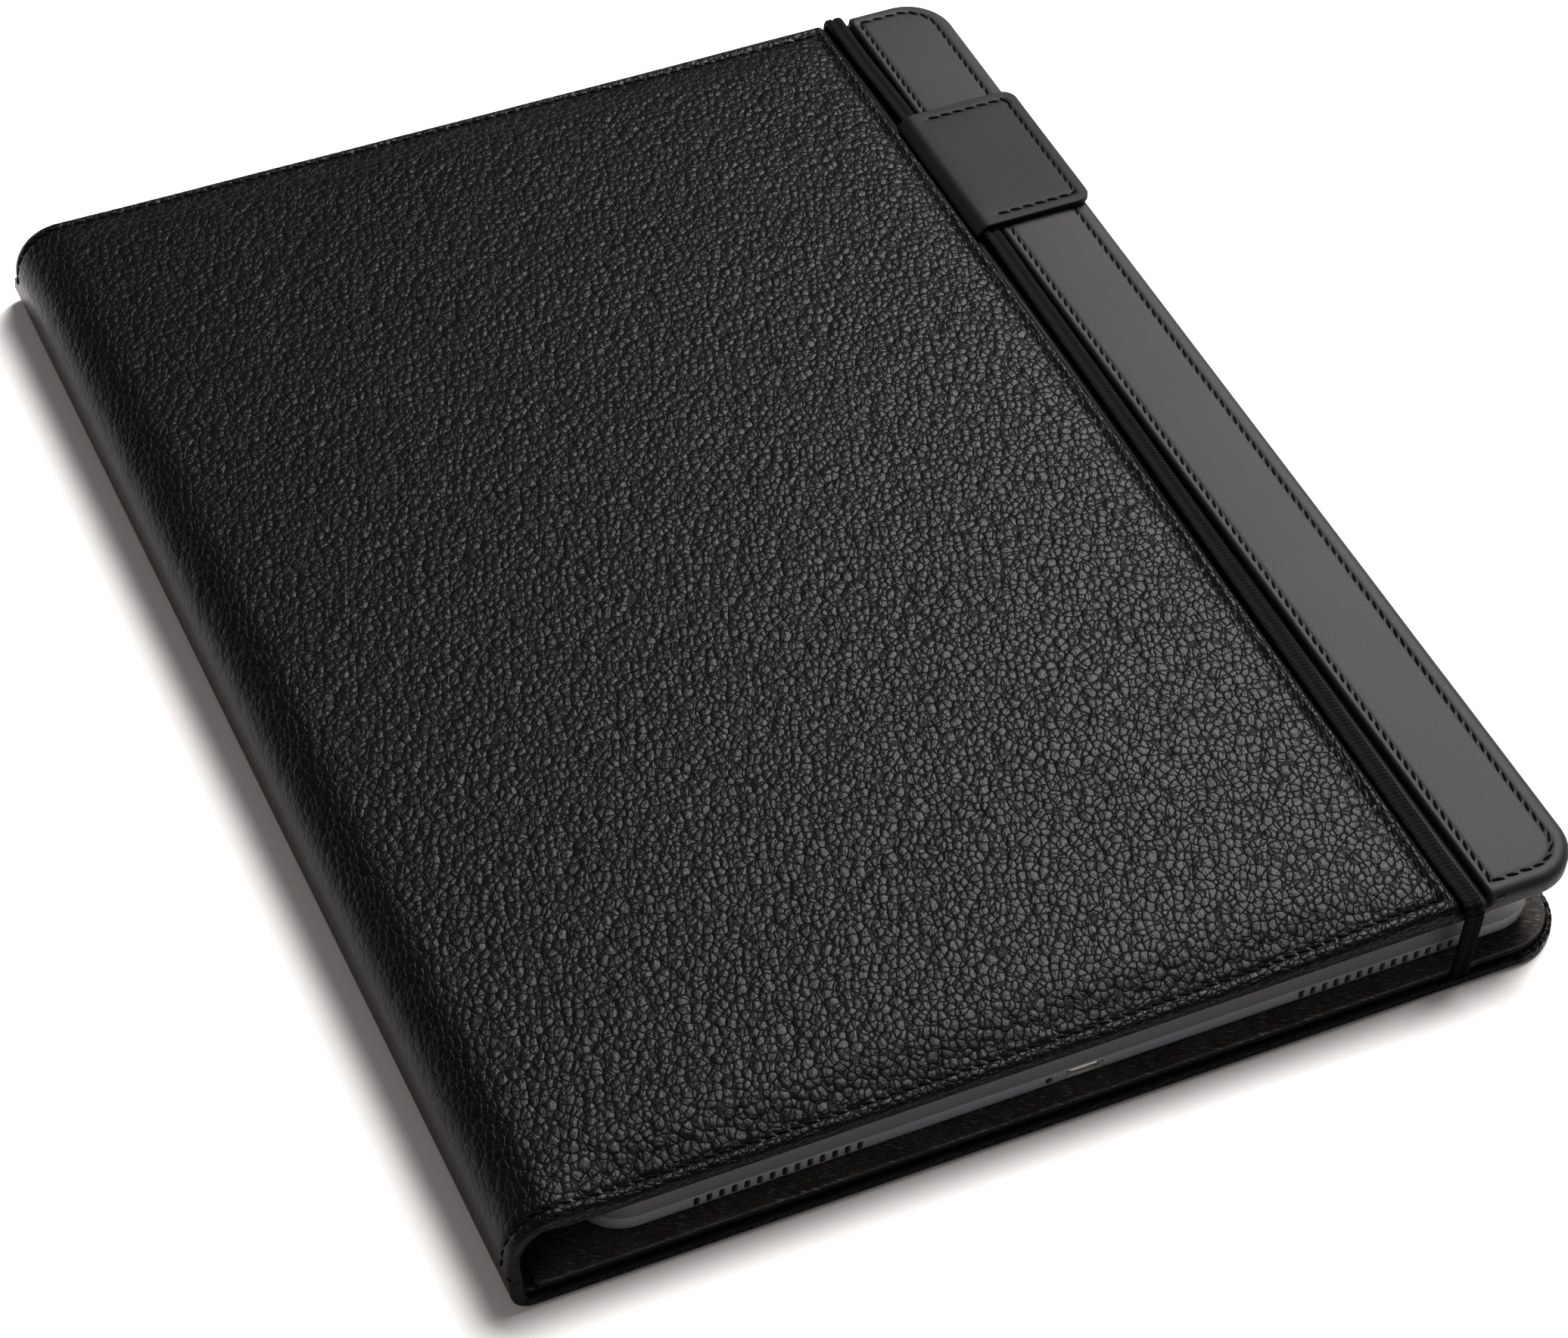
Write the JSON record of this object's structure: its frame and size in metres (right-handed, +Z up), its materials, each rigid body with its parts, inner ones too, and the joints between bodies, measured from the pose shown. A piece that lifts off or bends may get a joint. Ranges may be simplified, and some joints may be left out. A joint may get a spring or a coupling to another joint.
{
  "type": "tablet case",
  "caption": "Leather folio case for a slim tablet or reader, with a padded front cover, folding spine and an elastic strap with a pull tab; a reader is held inside.",
  "frame": {"origin": "on the surface the closed case lies on, under the middle of the held reader", "axes": "+X from the spine to the fore-edge, +Y from the reader's socket side to its top side, +Z up out of the front cover"},
  "size_m": [0.2051, 0.2732, 0.0211],
  "materials": {
    "pebbled_leather": "pebbled, satin black",
    "smooth_leather": "smooth, satin black",
    "suede_lining": "brushed microsuede",
    "thread": "waxed thread",
    "board": "black pressed paper board",
    "padding": "thin foam",
    "elastic": "ribbed knit",
    "steel": "dark nickel",
    "metal_shell": "fine bead-blasted graphite",
    "bezel": "matt graphite",
    "key": "matt graphite",
    "screen": "matt grey paper-like display",
    "circuit": "circuit board",
    "battery": "foil pouch",
    "speaker": "black cloth-faced box"
  },
  "bodies": {
    "back_cover": {"back_outer_leather": "pebbled_leather", "back_board": "board", "back_lining": "suede_lining", "back_lining_stitches": "thread", "strap_sewn_ends": "elastic", "hinge_rail": "steel", "rail_rivets": "steel", "lower_hook": "steel", "hook_spring": "steel"},
    "spine": {"spine_leather": "pebbled_leather", "spine_stiffener": "board", "spine_lining": "suede_lining", "spine_stitches": "thread", "lower_fold_leather": "pebbled_leather", "lower_fold_lining": "suede_lining"},
    "front_cover": {"front_panel_leather": "pebbled_leather", "front_band_leather": "smooth_leather", "front_lining": "suede_lining", "front_board": "board", "panel_padding": "padding", "band_padding": "padding", "panel_stitches": "thread", "band_stitches": "thread", "front_lining_stitches": "thread", "upper_fold_leather": "pebbled_leather", "upper_fold_lining": "suede_lining", "upper_fold_stitches": "thread"},
    "strap": {"strap_run": "elastic", "strap_upper_leg": "elastic", "strap_lower_leg": "elastic"},
    "pull_tab": {"pull_tab_leather": "smooth_leather", "pull_tab_stitches": "thread"},
    "sprung_hook": {"upper_hook": "steel"},
    "reader": {"reader_back_shell": "metal_shell", "reader_bezel": "bezel", "reader_screen": "screen", "screen_carrier": "metal_shell", "reader_battery": "battery", "reader_main_board": "circuit", "charging_socket": "steel", "speakers": "speaker", "key_switch_board": "circuit"},
    "power_switch": {"power_slider": "key"},
    "previous_page_key": {"previous_page_key": "key"},
    "next_page_key": {"next_page_key": "key"},
    "home_key": {"home_key": "key"},
    "menu_key": {"menu_key": "key"}
  },
  "joints": [
    {"name": "spine_fold", "type": "hinge", "parent": "back_cover", "child": "spine", "pos_m": [-0.10634, 0, 0.00086], "axis": [0, -1, 0], "range_deg": [0, 90], "deforming": ["lower_fold_leather", "lower_fold_lining"]},
    {"name": "cover_fold", "type": "hinge", "parent": "spine", "child": "front_cover", "pos_m": [-0.10505, 0, 0.01715], "axis": [0, -1, 0], "range_deg": [0, 90], "deforming": ["upper_fold_leather", "upper_fold_lining", "upper_fold_stitches"]},
    {"name": "strap_release", "type": "slide", "parent": "back_cover", "child": "strap", "axis": [1, 0, 0], "range_m": [0, 0.034], "stiffness_N_per_m": 30, "deforming": ["strap_run", "strap_upper_leg", "strap_lower_leg"]},
    {"name": "tab_lift", "type": "hinge", "parent": "strap", "child": "pull_tab", "pos_m": [0.0738, 0.0785, 0.01885], "axis": [0, -1, 0], "range_deg": [0, 120], "deforming": ["pull_tab_leather", "pull_tab_stitches"]},
    {"name": "reader_slide", "type": "slide", "parent": "back_cover", "child": "reader", "axis": [1, 0, 0], "range_m": [0, 0.2]},
    {"name": "hook_slide", "type": "slide", "parent": "back_cover", "child": "sprung_hook", "axis": [0, 1, 0], "range_m": [0, 0.004], "stiffness_N_per_m": 300, "deforming": ["hook_spring"]},
    {"name": "power_slide", "type": "slide", "parent": "reader", "child": "power_switch", "axis": [1, 0, 0], "range_m": [0, 0.0025], "stiffness_N_per_m": 200},
    {"name": "previous_page_press", "type": "slide", "parent": "reader", "child": "previous_page_key", "axis": [0, 0, -1], "range_m": [0, 0.0005], "stiffness_N_per_m": 300},
    {"name": "next_page_press", "type": "slide", "parent": "reader", "child": "next_page_key", "axis": [0, 0, -1], "range_m": [0, 0.0005], "stiffness_N_per_m": 300},
    {"name": "home_press", "type": "slide", "parent": "reader", "child": "home_key", "axis": [0, 0, -1], "range_m": [0, 0.0005], "stiffness_N_per_m": 300},
    {"name": "menu_press", "type": "slide", "parent": "reader", "child": "menu_key", "axis": [0, 0, -1], "range_m": [0, 0.0005], "stiffness_N_per_m": 300}
  ]
}
